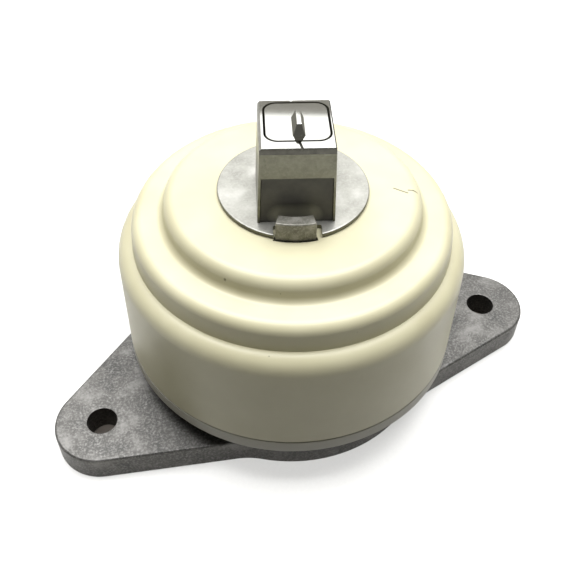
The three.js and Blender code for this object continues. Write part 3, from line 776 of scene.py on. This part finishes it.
def makePad(values):
    half = head["width"] / 2 - head["recessLip"] - values["gap"]
    bottom = levels["discLow"] + head["discThickness"]
    bm = boxPiece(-half, half, head["front"] - values["proud"],
                  head["front"] + head["recessDepth"] - values["proud"],
                  bottom + values["gap"], bottom + head["recessHeight"] - values["gap"])
    drafted(bm, head)
    bevelEdges(bm, bm.edges[:], values["edgeRound"], 3)
    return bm


finishPiece(makePad(pad), "frontPad", padRubber, "front_pad", "sprung_head", turned=True)
print("head made")


# core: cone, shoulder, square post with the wedge, and the lug
core = {
    "tipRadius": 12, "tipZ": low("core"), "neckRadius": 20, "neckZ": 66, "shoulderRadius": 27,
    "shoulderZ": 74, "shoulderTop": 80, "lugInner": 21, "lugOuter": 25.2, "lugLeft": -7.05,
    "lugRight": 5.95, "lugTop": 89.5, "lugTaper": 0.99, "lugRound": 0.9,
    "wedgeWidth": 3.8, "wedgeRidge": 1.5, "wedgeLength": 9.9, "wedgeShift": 0.6, "wedgeStart": 1.9,
    "wedgeFrontLean": 1.15, "wedgeRearLean": 1.65, "wedgeRound": 0.14, "wedgeRoot": 0.5,
    "postRoot": 2, "postRim": 0.06, "lugRoot": 1, "insertDepth": 13.8, "boltRoom": 5.1, "boltDepth": 16.5,
}


def makeWedge(values, top):
    ridge = cadHigh.z / mm
    front = head["front"] + head["postFrontInset"] + values["wedgeStart"]
    rear = front + values["wedgeLength"]
    bm = boxPiece(-1, 1, -1, 1, top - values["wedgeRoot"], ridge)
    for vert in bm.verts:
        spread = 0 if vert.co.z > (ridge - 0.1) * mm else 1 + values["wedgeRoot"] / (ridge - top)
        half = (values["wedgeRidge"] + (values["wedgeWidth"] - values["wedgeRidge"]) * spread) / 2
        x = values["wedgeShift"] + math.copysign(half, vert.co.x)
        inFront = vert.co.y < 0
        y = (front + values["wedgeFrontLean"] * (1 - spread) if inFront
             else rear - values["wedgeRearLean"] * (1 - spread))
        vert.co.x, vert.co.y = x * mm, y * mm
    upper = [e for e in bm.edges if any(v.co.z > (ridge - 0.1) * mm for v in e.verts)]
    bevelEdges(bm, upper, values["wedgeRound"], 3)
    return bm


def makeCore(values):
    body = spunPiece([
        (0, values["tipZ"]), (values["tipRadius"], values["tipZ"], 2),
        (values["neckRadius"], values["neckZ"], 3), (values["shoulderRadius"], values["shoulderZ"], 1),
        (values["shoulderRadius"], values["shoulderTop"], 0.6), (0, values["shoulderTop"]),
    ], 96)
    top = levels["headTop"]
    post = postBlock(head, 0, values["shoulderTop"] - values["postRoot"], top)
    rim = [e for e in sharpEdges(post, 60) if all(v.co.z > (top - 1) * mm for v in e.verts)]
    bevelEdges(post, rim, values["postRim"], 1)
    lug = sectorPiece(values["lugInner"], values["lugOuter"], values["lugLeft"], values["lugRight"],
                      values["shoulderTop"] - values["lugRoot"], values["lugTop"])
    upper = [v for v in lug.verts if v.co.z > (values["lugTop"] - 1) * mm]
    bmesh.ops.scale(lug, verts=upper, vec=(values["lugTaper"], 1, 1))
    bevelEdges(lug, sharpEdges(lug), values["lugRound"], 5)
    rear = head["rear"]
    mouth = point(0, rear + overrun, head["boltZ"])
    insertRoom = cylinderPiece(head["boltRadius"], point(0, rear - values["insertDepth"], head["boltZ"]),
                               mouth)
    boltRoom = cylinderPiece(values["boltRoom"], point(0, rear - values["boltDepth"], head["boltZ"]), mouth)
    return joinSolids(body, ("UNION", post), ("UNION", lug), ("UNION", makeWedge(values, top)),
                      ("DIFFERENCE", insertRoom), ("DIFFERENCE", boltRoom))


finishPiece(makeCore(core), "coreCasting", coreMetal, "core", "sprung_head",
            turned=True)
print("core made")


# threaded insert
insert = {"outer": 7.5, "minor": 5.1, "major": 5.9, "pitch": 1.75, "length": 13.5,
          "crestShare": 0.35, "rootShare": 0.85}


def makeInsert(values):
    pitch = values["pitch"]
    turns = int(values["length"] // pitch)
    outline = [(values["outer"], 0, 0.3, 2), (values["outer"], values["length"], 0.4, 2),
               (values["major"], values["length"])]
    for i in range(turns, 0, -1):
        outline += [(values["minor"], (i - values["crestShare"]) * pitch),
                    (values["major"], (i - values["rootShare"]) * pitch)]
    outline.append((values["major"], 0))
    bm = spunPiece(outline, 72)
    bmesh.ops.rotate(bm, verts=bm.verts[:], cent=(0, 0, 0), matrix=Matrix.Rotation(-math.pi / 2, 3, "X"))
    bmesh.ops.translate(bm, verts=bm.verts[:], vec=point(0, head["rear"] - values["length"], head["boltZ"]))
    return bm


finishPiece(makeInsert(insert), "threadInsert", zinc, "thread_insert", "sprung_head",
            turned=True)


# bump ring
bumpStop = {"inner": 50.3, "outer": 53.2, "low": 11.3, "top": 13.9}


def makeBumpStop(values):
    return spunPiece([
        (values["inner"], values["low"]), (values["outer"], values["low"], 0.4, 2),
        (values["outer"], values["top"], 1.1, 5), (values["inner"], values["top"], 0.6, 3),
    ], 160)


finishPiece(makeBumpStop(bumpStop), "bumpRing", rubber, "bump_ring", "base")


# bottom cup
cup = {"vent": 3, "wall": 41.5, "low": low("bottom_cup"), "rimLow": 14.3, "rim": high("bottom_cup", 0),
       "sheet": 1.5}


def makeCup(values):
    wall, rim, sheet = values["wall"], values["rim"], values["sheet"]
    bottom, rimLow = values["low"], values["rimLow"]
    return spunPiece([
        (values["vent"], bottom, 0.3, 2), (wall, bottom, 1.9, 6), (wall, rimLow, 0.8, 3), (rim, rimLow),
        (rim, rimLow + sheet), (wall - sheet, rimLow + sheet, 1.2, 4), (wall - sheet, bottom + sheet, 0.8, 3),
        (values["vent"], bottom + sheet, 0.3, 2),
    ], 128)


finishPiece(makeCup(cup), "bottomCup", zinc, "bottom_cup", "base")


# rubber spring and bellows, made in sectors
springShape = {
    "outer": 43.2, "outerLow": 34, "outerTop": 45.4, "innerTop": 23.5, "innerTopZ": 65.7, "bondTop": 20.3,
    "bondLow": 15.3, "bondLowZ": 52, "upperPull": (27.9, 48.7), "lowerPull": (29, 46), "steps": 14,
    "still": (40.4, 41.8), "moving": (19.4, 57.6),
}
bellowsShape = {
    "beadInner": 41, "beadOuter": 45.5, "beadLow": 16.1, "beadTop": 19.6, "sheet": 1.8,
    "line": [(41.4, 17.6), (39.4, 17.3), (37.3, 15.3), (35.3, 12), (33.2, 9.2), (30.2, 8), (27, 9.3),
             (24, 11.2), (21.3, 13.3)],
    "still": (39.5, 10), "moving": (22.5, 10),
}
sectors = 12


def curved(start, pull, end, steps):
    # points on a curve from start to end, bent towards pull
    shares = [i / steps for i in range(steps + 1)]
    return [tuple((1 - t) ** 2 * a + 2 * t * (1 - t) * b + t * t * c for a, b, c in zip(start, pull, end))
            for t in shares]


def springOutline(values):
    upper = curved((values["innerTop"], values["innerTopZ"]), values["upperPull"],
                   (values["outer"], values["outerTop"]), values["steps"])
    lower = curved((values["outer"], values["outerLow"]), values["lowerPull"],
                   (values["bondLow"], values["bondLowZ"]), values["steps"])
    return [(values["bondTop"], values["innerTopZ"])] + upper + lower


def bellowsOutline(values):
    # the membrane's middle line with its thickness on both sides, ending in the clamped bead
    line = [Vector(p) for p in values["line"]]
    above, below = [], []
    for i, spot in enumerate(line):
        along = (line[min(i + 1, len(line) - 1)] - line[max(i - 1, 0)]).normalized()
        across = Vector((along.y, -along.x)) * values["sheet"] / 2
        above.append(spot + across)
        below.append(spot - across)
    above[0].x = below[0].x = values["beadInner"]
    inner, outer = values["beadInner"], values["beadOuter"]
    bead = [(inner, values["beadTop"]), (outer, values["beadTop"]), (outer, values["beadLow"]),
            (inner, values["beadLow"])]
    first, second = (above, below) if above[0].y > below[0].y else (below, above)
    return bead + [tuple(p) for p in second] + [tuple(p) for p in first[::-1]]


def softRing(outline, name, node):
    # equal sectors, each spun from the outline over its own share of the turn
    half = math.pi / sectors
    for i in range(sectors):
        bm = bmesh.new()
        corners = [bm.verts.new(point(r, 0, z)) for r, z in outline]
        for corner, following in zip(corners, corners[1:] + corners[:1]):
            bm.edges.new((corner, following))
        middle = Matrix.Rotation(2 * half * i, 4, "Z")
        bmesh.ops.transform(bm, matrix=middle @ Matrix.Rotation(-half, 4, "Z"), verts=bm.verts[:])
        bmesh.ops.spin(bm, geom=bm.verts[:] + bm.edges[:], cent=(0, 0, 0), axis=(0, 0, 1), angle=2 * half,
                       steps=10, use_duplicate=False)
        bmesh.ops.recalc_face_normals(bm, faces=bm.faces[:])
        outward = max(bm.faces, key=lambda f: f.calc_center_median().xy.length)
        if outward.normal.xy.dot(outward.calc_center_median().xy) < 0:
            bmesh.ops.reverse_faces(bm, faces=bm.faces[:])
        shadeSmooth(bm)
        piece = toObject(bm, name + str(i + 1))
        piece.data.materials.append(rubber)
        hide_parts(node)
        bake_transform(piece)


softRing(springOutline(springShape), "mainSpring", "main_spring")
softRing(bellowsOutline(bellowsShape), "bellows", "diaphragm")
print("soft pieces made")


# pieces that keep their CAD shape
kept = {
    "track_gasket": rubber, "decoupler_disc": rubber,
    "lower_track_plate": nylon, "upper_track_plate": nylon, "diaphragm_plate": nylon,
    "spring_outer_ring": zinc, "crimp_collar": zinc, "track_rivet_1": zinc, "track_rivet_2": zinc,
    "track_rivet_3": zinc,
}
for nodeName, keptMaterial in kept.items():
    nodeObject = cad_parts[nodeName]
    nodeObject.data.materials.clear()
    nodeObject.data.materials.append(keptMaterial)
print("inner pieces dressed")


# floor, light and camera
studio = {
    "floorSize": 6, "paper": ("bdbdbc", "c0c0bf"), "fibreSize": 1.2,
    # the spots listed next are painted shade on the paper under the bolt holes
    "shadeSpots": [(-77, -15.3), (77, -15.3)], "shadeSpotRadius": 12, "shadeSpotColor": "5a544e",
    "objectTop": 0.11, "height": 0.95, "front": -0.15, "middle": 0.5, "rearEdge": 34.03,
    "overheadWidth": 1.2, "overheadPower": 25, "rearWidth": 1.8, "rearPower": 9,
    "washPlace": (0, -0.9, 0.9), "washAim": (0, -0.05, 0), "washWidth": 1.2, "washDepth": 0.6,
    "washPower": 27,
    "worldColor": "fbf6ea", "worldFrom": -0.6, "worldTo": 0.45, "worldFront": 0.125, "worldBack": 0.42,
}
camera = {
    "azimuth": -22.717, "elevation": 46.886, "roll": 1.280, "lens": 47.523,
    "place": (-0.939, -196.712, 244.193),
}
viewTurn = Matrix.Rotation(math.radians(camera["azimuth"]), 4, "Z")


def makeFloor(values):
    bm = bmesh.new()
    bmesh.ops.create_grid(bm, x_segments=1, y_segments=1, size=values["floorSize"] / 2)
    floor = toObject(bm, "floor")
    material, tree, shader, place = newMaterial("whitePaperSweep")
    fibre = grain(tree, place, values["fibreSize"], detail=2)
    tone = addNode(tree, "ShaderNodeValToRGB", links={"Fac": (fibre, "Fac")},
                   stops=[(0.3, values["paper"][0]), (0.7, values["paper"][1])])
    color, out = tone, "Color"
    for x, y in values["shadeSpots"]:  # painted shade: dark spots on the paper under the bolt holes, which keep the bolt holes dark
        away = addNode(tree, "ShaderNodeVectorMath", operation="DISTANCE", inputs={1: point(x, y, 0)},
                       links={0: (place, "Object")})
        shadeSpot = addNode(tree, "ShaderNodeMath", operation="LESS_THAN", inputs={1: values["shadeSpotRadius"] * mm},
                       links={0: (away, "Value")})
        color, out = mixColors(tree, (shadeSpot, "Value"), (color, out), values["shadeSpotColor"])
    connect(tree, color, out, shader, "Base Color")
    shader.inputs["Roughness"].default_value = 0.9
    floor.data.materials.append(material)
    floor.visible_diffuse = False  # the paper doesn't light the object's walls


def makeLight(name, middle, aim, width, depth, power):
    data = bpy.data.lights.new(name, "AREA")
    data.shape = "RECTANGLE"
    data.size, data.size_y, data.energy = width, depth, power
    lamp = bpy.data.objects.new(name, data)
    back = (middle - aim).normalized()
    right = Vector((1, 0, 0))
    turn = Matrix((right, back.cross(right), back)).transposed().to_4x4()
    lamp.matrix_world = viewTurn @ Matrix.Translation(middle) @ turn
    bpy.context.scene.collection.objects.link(lamp)
    return lamp


def makeWorld(values):
    # the room is darker in front of the object than behind it
    world = bpy.data.worlds.new("studio")
    world.use_nodes = True
    tree = world.node_tree
    tree.nodes.clear()
    place = addNode(tree, "ShaderNodeTexCoord")
    toBack = viewTurn @ Vector((0, 1, 0))
    across = addNode(tree, "ShaderNodeVectorMath", operation="DOT_PRODUCT", inputs={1: toBack},
                     links={0: (place, "Generated")})
    level = addNode(tree, "ShaderNodeMapRange", links={"Value": (across, "Value")},
                    inputs={"From Min": values["worldFrom"], "From Max": values["worldTo"],
                            "To Min": values["worldFront"], "To Max": values["worldBack"]})
    sky = addNode(tree, "ShaderNodeBackground", inputs={"Color": linear(values["worldColor"])},
                  links={"Strength": (level, "Result")})
    addNode(tree, "ShaderNodeOutputWorld", links={"Surface": (sky, "Background")})
    bpy.context.scene.world = world


def makeStudio(values):
    # a strong softbox straight above, a dimmer one behind it, and a wash that only the floor takes
    level = values["height"] + values["objectTop"]
    rear = values["height"] / math.tan(math.radians(values["rearEdge"]))
    panels = (
        ("overheadSoftbox", values["front"], values["middle"], values["overheadWidth"],
         values["overheadPower"]),
        ("rearSoftbox", values["middle"], rear, values["rearWidth"], values["rearPower"]),
    )
    for name, start, end, width, power in panels:
        middle = Vector((0, (start + end) / 2, level))
        makeLight(name, middle, middle - Vector((0, 0, 1)), width, end - start, power)
    wash = makeLight("floorWash", Vector(values["washPlace"]), Vector(values["washAim"]), values["washWidth"],
                     values["washDepth"], values["washPower"])
    washed = bpy.data.collections.new("washed floor")
    washed.objects.link(bpy.data.objects["floor"])
    wash.light_linking.receiver_collection = washed
    makeWorld(values)


def makeCamera(values):
    elevation, roll = math.radians(values["elevation"]), math.radians(values["roll"])
    back = Vector((0, -math.cos(elevation), math.sin(elevation)))
    right = Vector((1, 0, 0))
    up = back.cross(right)
    right, up = (right * math.cos(roll) + up * math.sin(roll), up * math.cos(roll) - right * math.sin(roll))
    data = bpy.data.cameras.new("camera")
    data.lens = values["lens"]
    data.clip_start = 0.01
    made = bpy.data.objects.new("camera", data)
    turn = Matrix((right, up, back)).transposed().to_4x4()
    made.matrix_world = viewTurn @ Matrix.Translation(point(*values["place"])) @ turn
    bpy.context.scene.collection.objects.link(made)
    bpy.context.scene.camera = made


makeFloor(studio)
makeStudio(studio)
makeCamera(camera)
bpy.context.scene.view_settings.view_transform = "Standard"
print("studio made")
